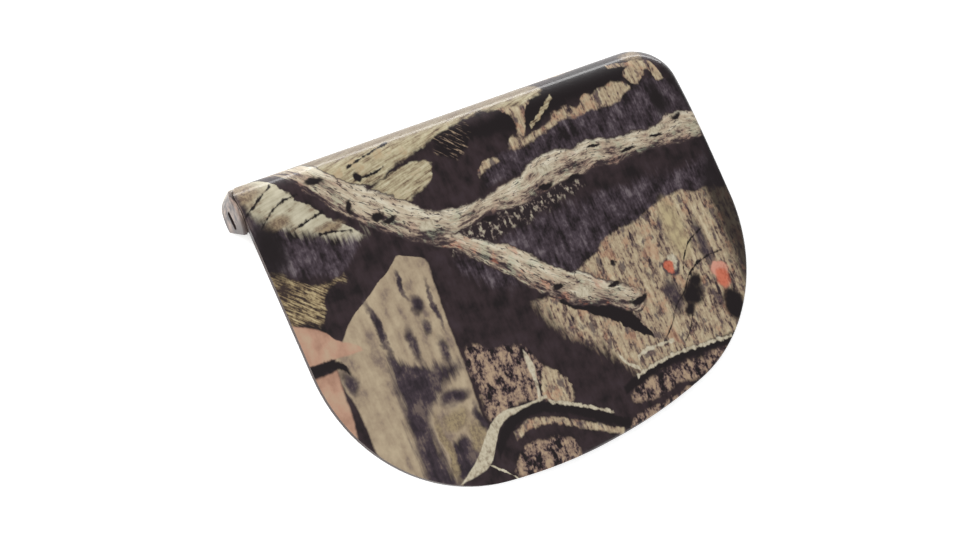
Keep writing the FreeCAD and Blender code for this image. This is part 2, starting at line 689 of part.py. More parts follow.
loop = doc.addObject("Part::Torus", "loop_wire_ring")
bind(loop, Radius1="loop_radius", Radius2="loop_wire")
put(loop, "lug_line", "lug_eye - loop_radius", "lug_height")
keep(loop, "lanyard_ring")

# ---------------------------------------------------------------- check and write

doc.recompute()
for item in doc.Objects:
    if "Invalid" in item.State or "Error" in item.State:
        raise RuntimeError(f"{item.Label} did not build: {item.State}")
os.makedirs("parts", exist_ok=True)
for item in sub_parts:
    if item.Shape.isNull() or not item.Shape.isValid() or not item.Shape.Solids:
        raise RuntimeError(f"{item.Label} has no valid solid")
for item in sub_parts:
    item.Shape.exportStep(f"parts/{item.Label}.step")
    limits = item.Shape.BoundBox
    print(f"{item.Label:20s} {len(item.Shape.Solids)} solid(s) {item.Shape.Volume:9.1f} mm3  "
          f"x {limits.XMin:7.2f} {limits.XMax:7.2f}  y {limits.YMin:7.2f} {limits.YMax:7.2f}  "
          f"z {limits.ZMin:6.2f} {limits.ZMax:6.2f}")
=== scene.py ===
import bpy
from mathutils import Matrix, Vector

# Looks of a shielded grunt tube call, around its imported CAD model.
# Lengths are in metres, apart from the surface patterns, which are laid out in
# millimetres in the same frame: X along the rolled edge, Y across the shield.

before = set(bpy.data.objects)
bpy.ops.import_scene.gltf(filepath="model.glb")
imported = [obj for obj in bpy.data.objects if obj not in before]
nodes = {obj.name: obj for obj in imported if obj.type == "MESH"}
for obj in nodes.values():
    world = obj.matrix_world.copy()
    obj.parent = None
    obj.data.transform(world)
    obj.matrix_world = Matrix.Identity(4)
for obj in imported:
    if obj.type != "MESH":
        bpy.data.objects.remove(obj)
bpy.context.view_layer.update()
MM = 0.001


# ---------------------------------------------------------------- camera

CAMERA_PLACE = Vector((-0.1833, -0.0276, 0.3311))
CAMERA_FORWARD = Vector((0.4618, 0.0894, -0.8825))
CAMERA_UP = Vector((0.3519, 0.8948, 0.2748))
CAMERA_LENS = 44.17         # mm
SENSOR_WIDTH = 36.0         # mm
CLIP_START = 0.01


def make_camera():
    data = bpy.data.cameras.new("view")
    data.lens = CAMERA_LENS
    data.sensor_width = SENSOR_WIDTH
    data.clip_start = CLIP_START
    camera = bpy.data.objects.new("view", data)
    bpy.context.scene.collection.objects.link(camera)
    back = -CAMERA_FORWARD.normalized()
    right = CAMERA_UP.cross(back).normalized()
    up = back.cross(right)
    turn = Matrix((right, up, back)).transposed().to_4x4()
    camera.matrix_world = Matrix.Translation(CAMERA_PLACE) @ turn
    bpy.context.scene.camera = camera


make_camera()


# ---------------------------------------------------------------- material writing

SPAN = 90.0                 # mm, reach of the print's lines either way from its middle


def tint(red, green, blue):
    """Linear colour from an ordinary 0 to 255 colour."""
    def linear(level):
        level /= 255
        return level / 12.92 if level <= 0.04045 else ((level + 0.055) / 1.055) ** 2.4
    return (linear(red), linear(green), linear(blue), 1.0)


class Value:
    """A number that a material works out at each point of a surface."""

    def __init__(self, tree, socket):
        self.tree = tree
        self.socket = socket

    def math(self, kind, *others, swap=False):
        """Result of one sum with this number first, or last when swapped."""
        node = self.tree.nodes.new("ShaderNodeMath")
        node.operation = kind
        inputs = [self, *others]
        if swap:
            inputs.reverse()
        for place, item in zip(node.inputs, inputs):
            if isinstance(item, Value):
                self.tree.links.new(item.socket, place)
            else:
                place.default_value = item
        return Value(self.tree, node.outputs[0])

    def __add__(self, other):
        return self.math("ADD", other)

    def __radd__(self, other):
        return self.math("ADD", other)

    def __sub__(self, other):
        return self.math("SUBTRACT", other)

    def __rsub__(self, other):
        return self.math("SUBTRACT", other, swap=True)

    def __mul__(self, other):
        return self.math("MULTIPLY", other)

    def __truediv__(self, other):
        return self.math("DIVIDE", other)

    def __abs__(self):
        return self.math("ABSOLUTE")

    def least(self, other):
        return self.math("MINIMUM", other)

    def most(self, other):
        return self.math("MAXIMUM", other)


class Paint:
    """One material and the tools to write its surface."""

    def __init__(self, name):
        self.material = bpy.data.materials.new(name)
        self.material.use_nodes = True
        self.tree = self.material.node_tree
        self.shader = self.tree.nodes["Principled BSDF"]
        place = self.tree.nodes.new("ShaderNodeTexCoord")
        split = self.tree.nodes.new("ShaderNodeSeparateXYZ")
        self.tree.links.new(place.outputs["Object"], split.inputs[0])
        self.x, self.y, self.z = (Value(self.tree, out) / MM for out in split.outputs)

    def facing(self):
        """The three parts of the surface's direction."""
        geometry = self.tree.nodes.new("ShaderNodeNewGeometry")
        turn = self.tree.nodes.new("ShaderNodeVectorTransform")
        split = self.tree.nodes.new("ShaderNodeSeparateXYZ")
        turn.vector_type = "NORMAL"
        turn.convert_from = "WORLD"
        turn.convert_to = "OBJECT"
        self.tree.links.new(geometry.outputs["True Normal"], turn.inputs[0])
        self.tree.links.new(turn.outputs[0], split.inputs[0])
        return [Value(self.tree, out) for out in split.outputs]

    def put(self, value, socket):
        """Link or write a value into an input."""
        if isinstance(value, Value):
            value = value.socket
        if isinstance(value, bpy.types.NodeSocket):
            self.tree.links.new(value, socket)
        else:
            socket.default_value = value

    def set(self, **inputs):
        """Write the shader's inputs, such as base_color."""
        for name, value in inputs.items():
            self.put(value, self.shader.inputs[name.replace("_", " ").title().replace("Ior", "IOR")])

    def vector(self, x, y, z=0.0):
        node = self.tree.nodes.new("ShaderNodeCombineXYZ")
        for socket, value in zip(node.inputs, (x, y, z)):
            self.put(value, socket)
        return node.outputs[0]

    def noise(self, x, y, z=0.0, detail=2.0, roughness=0.55):
        """Smooth random number around 0, with features about one unit across."""
        place = self.vector(x, y, z)
        node = self.tree.nodes.new("ShaderNodeTexNoise")
        self.put(place, node.inputs["Vector"])
        node.inputs["Scale"].default_value = 1.0
        node.inputs["Detail"].default_value = detail
        node.inputs["Roughness"].default_value = roughness
        return Value(self.tree, node.outputs["Factor" if "Factor" in node.outputs else "Fac"]) - 0.5

    def wander(self, size, reach, seed):
        """Random moves along X and along Y, by up to about reach."""
        place = self.vector(self.x / size, self.y / size, seed)
        node = self.tree.nodes.new("ShaderNodeTexNoise")
        self.put(place, node.inputs["Vector"])
        node.inputs["Scale"].default_value = 1.0
        node.inputs["Detail"].default_value = 3.0
        split = self.tree.nodes.new("ShaderNodeSeparateColor")
        self.tree.links.new(node.outputs["Color"], split.inputs[0])
        return [(Value(self.tree, split.outputs[index]) - 0.5) * (2 * reach) for index in (0, 1)]

    def curve(self, along, points):
        """Height of a line through (along, height) points, level beyond its ends."""
        share = (along / (2 * SPAN)) + 0.5
        node = self.tree.nodes.new("ShaderNodeFloatCurve")
        line = node.mapping.curves[0]
        while len(line.points) < len(points):
            line.points.new(0.5, 0.5)
        for point, (place, height) in zip(line.points, points):
            point.location = (place / (2 * SPAN) + 0.5, height / (2 * SPAN) + 0.5)
            point.handle_type = "AUTO"
        node.mapping.update()
        self.put(share, node.inputs["Value"])
        return (Value(self.tree, node.outputs[0]) - 0.5) * (2 * SPAN)

    def ease(self, value, start, end):
        """0 before start and 1 after end, with a soft step between."""
        node = self.tree.nodes.new("ShaderNodeMapRange")
        node.interpolation_type = "SMOOTHSTEP"
        self.put(value, node.inputs["Value"])
        node.inputs["From Min"].default_value = start
        node.inputs["From Max"].default_value = end
        return Value(self.tree, node.outputs["Result"])

    def ramp(self, value, *stops):
        """Colour that changes with a value, from (value, colour) stops."""
        node = self.tree.nodes.new("ShaderNodeValToRGB")
        marks = node.color_ramp.elements
        while len(marks) < len(stops):
            marks.new(0.5)
        for mark, (place, colour) in zip(marks, stops):
            mark.position = place
            mark.color = colour
        self.put(value, node.inputs["Fac"])
        return node.outputs["Color"]

    def mix(self, under, over, share):
        """Colour under, with the colour over it where share is 1."""
        node = self.tree.nodes.new("ShaderNodeMix")
        node.data_type = "RGBA"
        self.put(share, node.inputs[0])
        self.put(under, node.inputs[6])
        self.put(over, node.inputs[7])
        return node.outputs[2]

    def bump(self, height, depth, strength=1.0):
        """Raise the surface by height times depth, in millimetres."""
        node = self.tree.nodes.new("ShaderNodeBump")
        node.inputs["Strength"].default_value = strength
        node.inputs["Distance"].default_value = depth * MM
        self.put(height, node.inputs["Height"])
        self.put(node.outputs["Normal"], self.shader.inputs["Normal"])


def dress(material, *names):
    """Give the named pieces one material."""
    for name in names:
        node = nodes[name]
        for slot in node.material_slots:
            slot.material = material
        if not node.material_slots:
            node.data.materials.append(material)


# ---------------------------------------------------------------- camouflage film
#
# Lines are lists of (X, Y) points in mm, with X from the middle of the sheet.  A
# line marked "up" runs along Y and has (Y, X) points.  A patch lies between its
# low and its high line.  Sizes here are in mm.

SHEET_MIDDLE = -1.5         # X of the sheet's middle in the frame
WRAP_START = 13.0           # height below which the print goes on down the back wall
WRAP_EDGE = (50.0, 55.0)    # Y over which that starts
STREAK_REACH = 4.5          # how far soft edges run out in streaks

NIGHT = tint(50, 38, 41)
INK = tint(28, 21, 23)

# (ink, direction, softness, low line, high line), from the first printed to the last
BACK_PATCHES = [
    ("trunk", "across", 0.8,
     [(-4, 30), (80, 28)],
     [(-4, 31), (2, 36), (8, 38), (16, 37), (20, 39), (26, 42), (30, 43), (40, 41), (60, 42),
      (70, 44), (76, 42), (80, 36)]),
    ("trunk", "across", 2.4,
     [(-24, 10), (-14, 0), (0, -3), (10, -5), (20, -3), (30, 0), (40, 1), (60, 4), (82, 2)],
     [(-24, 11), (-12, 12), (0, 14), (20, 15), (50, 13), (82, 12)]),
    ("trunk", "across", 1.4,
     [(-80, 30), (-70, 26), (-64, 23), (-58, 22), (-48, 30)],
     [(-80, 44), (-74, 43), (-70, 39), (-66, 37), (-60, 35), (-48, 31)]),
    ("bark", "across", 0.7,
     [(-8, -46), (18, -44), (36, -43), (46, -43), (57, -45), (70, -42), (82, -25)],
     [(-8, -8), (8, -8), (12, -5), (20, -3), (30, 1), (40, 2), (50, 4), (60, 5), (70, 3), (82, 1)]),
    ("ground", "up", 3.0,
     [(-60, -12), (-4, -12)],
     [(-60, 22), (-46, 20), (-40, 18), (-34, 13), (-28, 9), (-22, 2), (-14, -3), (-4, -6)]),
    ("ink", "across", 1.5,
     [(-10, 45), (10, 43), (20, 42), (34, 45), (60, 46), (63, 49)],
     [(-10, 48), (10, 50), (30, 53), (60, 54), (63, 52)]),
    ("wisps", "across", 1.2, [(-15, 44), (-8, 41), (-2, 46)], [(-15, 49), (-8, 50), (-2, 50)]),
    ("lichen", "across", 1.2,
     [(-24, 14), (0, 15), (12, 16), (28, 19)],
     [(-24, 18), (0, 21), (12, 22), (28, 23)]),
    ("bark", "across", 0.6,
     [(9, 38), (14, 37), (18, 38), (24, 39), (30, 41), (36, 40), (44, 40), (52, 40), (61, 42)],
     [(9, 39), (12, 41), (15, 39), (19, 40), (24, 41), (30, 44), (35, 45), (39, 43), (41, 45),
      (45, 45), (50, 46), (56, 46), (61, 43)]),
    ("bark", "across", 0.5,
     [(60, 46), (64, 43), (67, 45), (70, 47), (72, 43), (75, 43)],
     [(60, 47), (63, 49), (68, 51), (72, 49), (75, 44)]),
    ("bark", "across", 0.5, [(-5, 33), (4, 35)], [(-5, 34), (-1, 37), (4, 36)]),
    ("stump", "across", 1.0,
     [(-34, -36), (-28, -34), (-13, -34), (-10, -29)],
     [(-34, -15), (-30, -12), (-26, -15), (-20, -17), (-15, -19), (-12, -24), (-10, -28)]),
    ("bark", "across", 0.7,
     [(-15, -37), (-12, -39), (-8, -40), (-5, -38)],
     [(-15, -33), (-13, -30), (-10, -28), (-7, -31), (-5, -36)]),
    ("stump", "across", 0.8,
     [(-33, -53), (-26, -58), (-11, -58)],
     [(-33, -50), (-28, -47), (-22, -47), (-16, -48), (-11, -53)]),
    ("stump", "across", 0.9,
     [(13, -49), (20, -51), (30, -50), (44, -52), (56, -48)],
     [(13, -48), (18, -45), (26, -45), (34, -45), (45, -47), (56, -47)]),
    ("stump", "across", 0.7,
     [(7, -59), (42, -59)],
     [(7, -57), (14, -53), (22, -54), (30, -53), (42, -56)]),
    ("grass", "across", 0.9,
     [(-82, 15), (-75, 12), (-71, 10), (-67, 14), (-64, 19), (-58, 20)],
     [(-82, 31), (-76, 28), (-70, 24), (-66, 21), (-58, 21)]),
    ("straw", "across", 0.6,
     [(-58, 52), (-52, 48), (-46, 45), (-42, 43), (-38, 42), (-32, 44), (-25, 46), (-18, 48),
      (-12, 49), (-5, 51), (5, 53), (10, 56)],
     [(-58, 60), (-40, 62), (-25, 59), (-10, 61), (10, 60)]),
    ("straw", "across", 0.5,
     [(-41, 39), (-35, 36), (-30, 34), (-26, 36), (-21, 38), (-18, 41)],
     [(-41, 40), (-36, 42), (-31, 43), (-26, 44), (-22, 44), (-19, 43), (-18, 42)]),
    ("bark", "up", 0.5,
     [(38, 14), (43, 14), (47, 14), (50, 12), (53, 8)],
     [(38, 15), (43, 17), (47, 19), (50, 23), (53, 29)]),
    ("straw", "across", 0.8, [(5, 53), (12, 51), (20, 50), (29, 52)], [(5, 60), (18, 58), (29, 55)]),
    ("trunk", "across", 1.6, [(-60, 64), (-30, 65), (0, 62), (24, 60)], [(-60, 74), (24, 74)]),
    ("bark", "across", 1.2,
     [(26, 60), (40, 57), (58, 60), (72, 59)],
     [(26, 64), (42, 66), (58, 64), (72, 62)]),
    ("grass", "across", 1.0, [(-30, 66), (-8, 65), (14, 68)], [(-30, 67), (-8, 74), (14, 70)]),
    ("leaf", "across", 0.5, [(-80, 62), (-70, 64), (-60, 69)], [(-80, 74), (-60, 74)]),
    ("birch", "across", 2.2,
     [(-86, 43), (-80, 47), (-76, 45), (-72, 42), (-69, 39), (-65, 36), (-60, 34), (-55, 31),
      (-48, 30)],
     [(-86, 62), (-70, 62), (-64, 54), (-59, 47), (-54, 40), (-50, 36), (-48, 33)]),
    ("ground", "across", 0.4,
     [(-70, 57), (-67, 52), (-62, 46), (-57, 40), (-53, 35), (-47, 29)],
     [(-70, 62), (-64, 62), (-58, 54), (-52, 46), (-47, 40)]),
    ("ink", "across", 0.4,
     [(3, -12), (10, -17), (16, -22), (20, -26), (25, -31), (30, -35)],
     [(3, -11), (10, -13), (16, -17), (21, -20), (26, -25), (28, -29), (30, -34)]),
]

# leaves, their shadows and the reddish leaves at the left
LEAVES = [
    ("leaf", "up", 0.4,
     [(-50, -60), (-40, -66), (-30, -70), (-20, -70), (0, -70), (3, -67), (8, -62), (11, -57),
      (13, -53), (15, -50), (18, -44), (20, -41)],
     [(-50, -55), (-46, -48), (-40, -38), (-30, -36), (-20, -35), (0, -34), (10, -33), (16, -33),
      (18, -36), (20, -40)]),
    ("shade", "up", 1.6,
     [(-50, -60), (-40, -60), (-30, -59), (-20, -58), (-11, -57), (-5, -56)],
     [(-50, -51), (-40, -52), (-30, -52), (-24, -50), (-20, -46), (-14, -46), (-10, -51), (-5, -55)]),
    ("shade", "across", 2.4,
     [(-50, -23), (-44, -20), (-36, -17)],
     [(-50, -12), (-44, -13), (-36, -15)]),
    ("shade", "across", 1.4,
     [(-52, -47), (-46, -46), (-41, -43)],
     [(-52, -43), (-46, -35), (-41, -39)]),
    ("rose", "across", 0.4,
     [(-84, 1), (-70, 0), (-62, -1)],
     [(-84, 19), (-80, 15), (-76, 12), (-71, 9), (-67, 4), (-65, 3), (-61, -1)]),
    ("rose", "up", 0.5, [(-34, -86), (-3, -86)], [(-34, -77), (-20, -73), (-10, -72), (-3, -71)]),
]

# soft round spots: (ink, X, Y, half width, half height, softness)
SPOTS = [
    ("shade", -55, 3, 1.0, 9, 0.95),
    ("shade", -47, -5, 1.6, 5, 0.95),
    ("shade", -43, 12, 0.8, 4, 0.9),
    ("shade", -41, 5, 2.2, 3.2, 0.85),
    ("shade", -41, -2, 1.5, 2.5, 0.95),
    ("shade", -36, 3, 0.8, 7, 0.95),
    ("shade", -42, -24, 4.6, 2.6, 0.9),
    ("shade", -39, -10, 1.6, 4, 0.95),
    ("shade", -37, -33, 1.4, 5, 0.9),
    ("shade", -69, -8, 2.2, 4, 0.95),
    ("olive", -44, -30, 4.4, 2.6, 0.9),
    ("olive", -40, -37, 2.4, 4.6, 0.9),
    ("olive", -50, -36, 1.3, 9, 0.8),
    ("tan", -76, 53, 5, 5, 0.95),
    ("shade", -79, 48, 2.2, 8, 0.97),
    ("tan", -70, 41, 4, 2, 0.95),
    ("tan", -56, 35, 4, 1.5, 0.95),
    ("ink", -75, 35, 4, 8, 0.97),
    ("tan", 68, 53, 4, 2.2, 0.9),
    ("cream", 54, -6, 4, 10, 0.97),
    ("shade", 62, -14, 2.4, 9, 0.97),
    ("shade", 43, -25, 2.4, 6, 0.97),
    ("ink", 50, -27, 4.6, 3.8, 0.7),
    ("ink", 54, -24, 2.0, 2.4, 0.8),
    ("ink", 47, -31, 2.2, 2.0, 0.8),
    ("ink", 64, -36, 4.2, 6.0, 0.5),
    ("ink", 27, -7, 0.9, 0.8, 0.7),
    ("ink", 69, 36, 2.5, 6, 0.95),
    ("shade", 47, -16, 3.4, 3.0, 0.4),
    ("pale", 48, -15, 1.7, 2.4, 0.5),
    ("amber", 46, -16, 1.9, 2.2, 0.4),
    ("blush", 64, -23, 3.5, 2.8, 0.3),
    ("amber", 64, -26, 2.8, 3.4, 0.6),
]

# thin marks laid over the patches: (ink, direction, softness, half width, line)
MARKS = [
    ("ink", "across", 0.5, 1.4, [(-84, -2), (-74, -1), (-70, -2), (-68, -5)]),
    ("ink", "across", 0.3, 0.3,
     [(33, -37), (38, -33), (42, -29), (48, -25), (52, -21), (56, -19), (68, -18)]),
    ("ink", "across", 0.3, 0.3, [(40, -40), (44, -37), (47, -33)]),
    ("ink", "across", 0.3, 0.3, [(-80, 44), (-76, 47), (-72, 49), (-67, 52)]),
    ("ink", "across", 0.3, 0.3, [(-75, 41), (-71, 44), (-67, 46), (-61, 47)]),
    ("ink", "across", 0.3, 0.3, [(-66, 38), (-61, 39), (-56, 40)]),
    ("ink", "across", 0.3, 0.3, [(-60, 34), (-54, 33), (-50, 32)]),
    ("ink", "across", 0.3, 0.3, [(-44, 49), (-36, 51), (-28, 53)]),
    ("ink", "across", 0.3, 0.3, [(-43, 45), (-37, 45), (-33, 46)]),
    ("ink", "across", 0.6, 1.9,
     [(-36, -44), (-32, -40), (-28, -38), (-22, -37), (-16, -38), (-10, -41), (-4, -45), (4, -51),
      (9, -55)]),
    ("bark", "across", 0.5, 1.2, [(-29, -42), (-22, -41), (-15, -43), (-8, -47), (0, -52), (6, -56)]),
    ("ink", "across", 0.6, 1.5, [(12, -45), (18, -44), (26, -43), (34, -43), (44, -44), (62, -46)]),
    ("pale", "across", 0.3, 0.5, [(18, -43), (26, -42), (34, -42), (44, -43), (58, -45)]),
    ("pale", "across", 0.3, 0.6, [(-14, -37), (-9, -40), (-4, -43), (2, -47), (5, -49)]),
    ("pale", "across", 0.3, 0.6, [(21, -38), (23, -37), (28, -37), (36, -38)]),
    ("pale", "across", 0.3, 0.8, [(15, -34), (17, -38), (20, -41)]),
    ("pale", "across", 0.2, 0.3, [(-40, -46), (-36, -50), (-33, -54)]),
    ("ink", "across", 0.3, 0.2, [(50, -20), (54, -14), (58, -11), (64, -9)]),
    ("straw", "across", 0.3, 0.8, [(19, 42), (25, 45), (31, 49)]),
    ("bark", "across", 0.3, 0.8, [(56, 52), (61, 51), (67, 50)]),
]

# pale edge of a curled strip, and an upright splinter
PALE_EDGES = [
    ("pale", "across", 0.3,
     [(-51, -47), (-44, -47), (-40, -46), (-37, -43), (-34, -39), (-31, -37), (-25, -36), (-14, -36)],
     [(-51, -47), (-45, -44), (-41, -41), (-38, -38), (-34, -35), (-31, -34), (-22, -35),
      (-14, -35)]),
    ("pale", "up", 0.3,
     [(-36, -17), (-30, -16), (-25, -16), (-20, -15)],
     [(-36, -16), (-30, -15), (-25, -14), (-20, -15)]),
]

# one forked branch: (name, low line, high line)
BRANCHES = [
    ("low_arm",
     [(-34, 22), (-24, 16), (-18, 11), (-12, 4), (-6, -2), (0, -8), (5, -12), (10, -15), (15, -17),
      (20, -20), (24, -23), (28, -25), (33, -21)],
     [(-34, 25), (-22, 21), (-14, 16), (-8, 13), (-2, 8), (4, 2), (10, -3), (14, -5), (20, -10),
      (26, -13), (30, -16), (33, -20)]),
    ("right_arm",
     [(-36, 24), (-24, 20), (-15, 20), (-5, 21), (0, 20), (8, 20), (15, 21), (22, 22), (30, 22),
      (36, 23), (42, 21), (50, 22), (58, 21), (66, 20), (84, 19)],
     [(-36, 31), (-24, 29), (-18, 27), (-10, 27), (-4, 28), (4, 29), (12, 31), (18, 33), (23, 33),
      (30, 32), (38, 32), (46, 30), (56, 29), (66, 29), (73, 31), (78, 29), (84, 28)]),
    ("left_arm",
     [(-68, 56), (-62, 51), (-58, 46), (-54, 41), (-50, 36), (-45, 31), (-40, 27), (-35, 23),
      (-30, 20), (-24, 18), (-19, 17)],
     [(-68, 60), (-62, 62), (-58, 58), (-52, 52), (-47, 47), (-42, 43), (-37, 39), (-32, 35),
      (-27, 31), (-22, 28), (-19, 24)]),
]

# dark knots and pale bare wood on the branch, written like the spots
KNOTS = [
    ("ink", -42, 46, 1.3, 1.6, 0.5),
    ("ink", -41, 33, 1.9, 1.1, 0.6),
    ("ink", -38, 31, 2.6, 0.8, 0.7),
    ("ink", -55, 49, 2.4, 0.9, 0.7),
    ("ink", -48, 38, 1.0, 2.2, 0.7),
    ("ink", 38, 29, 2.6, 0.6, 0.7),
    ("ink", 15, 23, 2.6, 1.2, 0.6),
    ("ink", 26, 22, 3.0, 1.2, 0.6),
    ("ink", 50, 25, 3.2, 0.7, 0.7),
    ("ink", 62, 25, 2.8, 0.6, 0.7),
    ("ink", 73, 29, 2.2, 1.1, 0.6),
    ("ink", 5, -7, 1.8, 1.0, 0.6),
    ("ink", 24, -13, 2.4, 0.7, 0.6),
    ("ink", 30, -21, 3.4, 1.2, 0.5),
    ("ink", -8, 20, 3.2, 0.9, 0.6),
    ("pale", -27, 25, 2.6, 1.6, 0.8),
    ("pale", 13, -11, 3.4, 1.6, 0.8),
    ("pale", 64, 27, 4.0, 1.1, 0.8),
    ("pale", 17, 28, 3.6, 1.2, 0.8),
]


# straight grains of the print: (size along X, size along Y, seed, detail)
GRAINS = {
    "upright": (1.1, 8.0, 1.0, 4),
    "plank": (3.0, 20.0, 4.0, 2),
    "blotch": (5.0, 6.5, 5.0, 3),
    "grain": (0.8, 1.1, 9.0, 3),
    "chunk": (1.8, 3.2, 17.0, 3),
    "clump": (3.0, 6.0, 24.0, 3),
}

# inks that follow a sum of grains: (share of each grain, middle, (value, colour) stops)
INKS = {
    "ground": (
        {"blotch": 1.1, "upright": 0.3}, 0.5,
        [(0.3, INK), (0.55, NIGHT), (0.8, tint(60, 48, 53))]),
    "trunk": (
        {"upright": 0.7, "blotch": 1.1, "grain": 0.45, "chunk": 0.4}, 0.5,
        [(0.3, INK), (0.46, tint(54, 44, 50)), (0.62, tint(76, 65, 72)), (0.82, tint(112, 102, 106))]),
    "bark": (
        {"upright": 0.8, "grain": 0.4, "plank": 0.7, "chunk": 0.9}, 0.5,
        [(0.24, tint(50, 40, 44)), (0.36, tint(106, 88, 80)), (0.47, tint(162, 142, 118)),
         (0.6, tint(182, 165, 136)), (0.8, tint(202, 188, 158))]),
    "stump": (
        {"clump": 1.2, "chunk": 0.6, "grain": 0.7}, 0.5,
        [(0.34, INK), (0.44, tint(76, 60, 62)), (0.52, tint(134, 112, 98)), (0.7, tint(174, 150, 124))]),
    "grass": (
        {"strokes": 1.6, "grain": 0.5, "blotch": 0.5}, 0.45,
        [(0.3, tint(56, 44, 40)), (0.46, tint(124, 106, 80)), (0.6, tint(166, 148, 112)),
         (0.8, tint(194, 178, 142))]),
    "wisps": (
        {"strokes": 1.6, "grain": 0.3}, 0.42,
        [(0.5, INK), (0.6, tint(110, 92, 80)), (0.74, tint(170, 148, 122))]),
    "lichen": (
        {"chunk": 1.6, "grain": 0.9}, 0.48,
        [(0.5, tint(40, 31, 34)), (0.62, tint(112, 98, 92)), (0.76, tint(170, 162, 142))]),
    "straw": (
        {"level": 1.3, "grain": 0.3, "blotch": 0.5}, 0.5,
        [(0.25, tint(92, 76, 62)), (0.38, tint(150, 134, 108)), (0.55, tint(182, 171, 140)),
         (0.75, tint(204, 196, 168))]),
    "birch": (
        {"level": 0.8, "blotch": 0.9, "grain": 0.2}, 0.5,
        [(0.26, tint(138, 122, 102)), (0.45, tint(180, 172, 148)), (0.7, tint(200, 193, 170))]),
    "leaf": (
        {"blotch": 0.9, "plank": 0.6, "grain": 0.2}, 0.5,
        [(0.28, tint(122, 106, 96)), (0.45, tint(160, 142, 119)), (0.7, tint(182, 165, 138))]),
    "rose": (
        {"blotch": 0.9, "plank": 0.4, "grain": 0.15}, 0.5,
        [(0.3, tint(160, 122, 102)), (0.5, tint(182, 144, 122)), (0.75, tint(184, 162, 136))]),
    "shade": (
        {"blotch": 1.4, "upright": 0.7, "grain": 0.4}, 0.5,
        [(0.3, tint(42, 34, 40)), (0.55, tint(64, 53, 60)), (0.75, tint(104, 90, 84))]),
    "olive": (
        {"grain": 1.0, "plank": 1.0}, 0.5,
        [(0.35, tint(124, 108, 88)), (0.6, tint(154, 137, 106))]),
    "tan": (
        {"grain": 1.0, "level": 1.0}, 0.5,
        [(0.35, tint(112, 94, 78)), (0.6, tint(152, 134, 108))]),
    "cream": (
        {"chunk": 1.0, "upright": 0.6}, 0.5,
        [(0.35, tint(150, 132, 106)), (0.6, tint(188, 172, 134))]),
    "amber": (
        {"grain": 0.7, "blotch": 0.8}, 0.5,
        [(0.3, tint(170, 86, 64)), (0.6, tint(204, 116, 90))]),
    "blush": (
        {"grain": 0.7, "blotch": 0.8}, 0.5,
        [(0.3, tint(186, 120, 100)), (0.6, tint(210, 152, 132))]),
    "pale": (
        {"grain": 0.7, "chunk": 0.7}, 0.5,
        [(0.3, tint(146, 132, 114)), (0.5, tint(190, 180, 156)), (0.75, tint(210, 202, 182))]),
}

BARK_PURPLE = tint(72, 58, 66)
BARK_RUST = tint(180, 134, 106)
STRAW_BROWN = tint(166, 132, 96)
STRAW_SHADED = tint(122, 106, 90)          # straw darkened by painted shade where the sheet turns over the roll
STRAW_SHADE_START = (50.5, 54.5)

ARM_EDGE = tint(58, 46, 48)
ARM_CRACK = tint(54, 42, 48)
ARM_LICHEN = tint(164, 172, 148)
ARM_WARM = tint(178, 144, 126)
LOW_ARM_WARM = tint(188, 118, 92)
ARM_STOPS = [(0.24, ARM_EDGE), (0.36, tint(122, 104, 94)), (0.48, tint(172, 155, 134)),
             (0.64, tint(196, 182, 158)), (0.84, tint(214, 205, 184))]

MARK_UNEVEN = 2.2                       # how much the width of a thin mark varies
RIGHT_SHADE = (74.5, 81.0)               # X over which painted shade darkens the sheet at its right edge
RIGHT_SHADE_UNEVEN = 9.0
RIGHT_SHADE_SHIFT = 6.0                  # how much sooner it darkens in the sheet's lower part
RIGHT_SHADE_LOW = (-14.0, -4.0)          # minus Y over which that shift comes in
LIP_X = (77.4, 78.4)                    # minus X over which the lip starts
LIP_Y = (40.0, 43.0)
LIP_SHADE_SPAN = (-47.5, -44.5)              # minus Y over which painted shade darkens its underside
# painted shade for the lip's underside
LIP_SHADE = tint(58, 46, 42)
# streaked print on the lip, lightened as a painted reflection
LIP_REFLECTION_STOPS = [(0.28, tint(46, 38, 38)), (0.42, tint(84, 72, 68)), (0.58, tint(124, 108, 98)),
             (0.8, tint(158, 136, 124))]


def film_grains(paint):
    """Random grains that the inks and the shapes of the print share."""
    x, y = paint.x, paint.y
    grains = {}
    for name, (wide, high, seed, detail) in GRAINS.items():
        grains[name] = paint.noise(x / wide, y / high, seed, detail=detail)
    grains["strokes"] = paint.noise((x + y) / 0.8, (y - x * 0.45) / 6.0, 12.0, detail=3)
    grains["level"] = paint.noise((x + y * 2.0) / 10.0, y - x * 0.22, 15.0, detail=4)
    return grains


def film_inks(paint, grains):
    """Every colour of the print, with its grain."""
    inks = {"ink": INK}
    for name, (shares, middle, stops) in INKS.items():
        value = middle
        for grain, share in shares.items():
            value = value + grains[grain] * share
        inks[name] = paint.ramp(value, *stops)

    purple = paint.ease(grains["clump"] + grains["chunk"] * 0.5, 0.03, 0.16) * 0.8
    rust = paint.ease(grains["blotch"] + grains["grain"] * 0.4, 0.02, 0.16) * 0.45
    inks["bark"] = paint.mix(paint.mix(inks["bark"], BARK_PURPLE, purple), BARK_RUST, rust)

    brown = paint.ease(grains["blotch"] + grains["level"] * 0.5, 0.06, 0.2) * 0.5
    # painted shade: the straw darkens where the sheet turns over the roll
    far = paint.ease(paint.y, *STRAW_SHADE_START) * 0.75
    inks["straw"] = paint.mix(paint.mix(inks["straw"], STRAW_BROWN, brown), STRAW_SHADED, far)
    return inks


